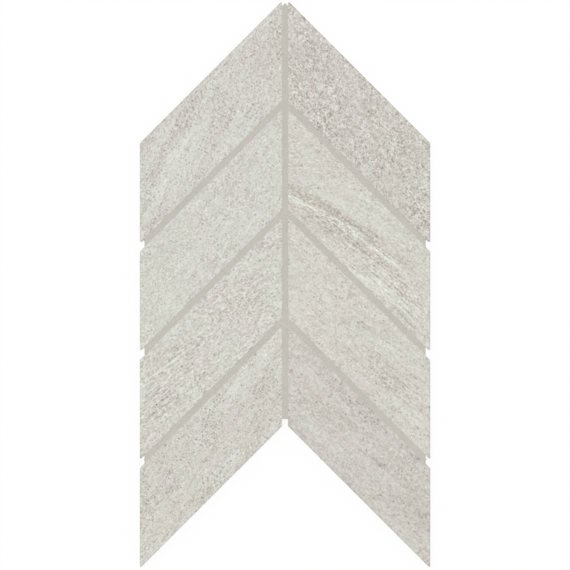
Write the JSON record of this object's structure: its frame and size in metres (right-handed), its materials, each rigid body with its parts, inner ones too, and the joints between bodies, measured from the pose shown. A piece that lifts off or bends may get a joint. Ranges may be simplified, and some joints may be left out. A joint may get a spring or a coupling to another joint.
{
  "type": "chevron wall tile",
  "caption": "Chevron mosaic sheet of slanted stone-look porcelain chips in two mirrored columns, with recessed light grey joints and a glass-fibre net on the back.",
  "frame": {"origin": "centre of the whole outline, on the underside of the backing net, which lies on the floor", "axes": "+Z out of the decorated face, +Y towards the chevron's point, +X to the right when seen from the face"},
  "size_m": [0.1584, 0.3082, 0.0095],
  "materials": {
    "porcelain": "matt",
    "grout": "matt",
    "glass_fibre": "matt"
  },
  "bodies": {
    "root": {"left_tile_1": "porcelain", "left_tile_2": "porcelain", "left_tile_3": "porcelain", "left_tile_4": "porcelain", "right_tile_1": "porcelain", "right_tile_2": "porcelain", "right_tile_3": "porcelain", "right_tile_4": "porcelain", "joint_grout": "grout", "backing_net_left": "glass_fibre", "backing_net_right": "glass_fibre"}
  },
  "joints": []
}
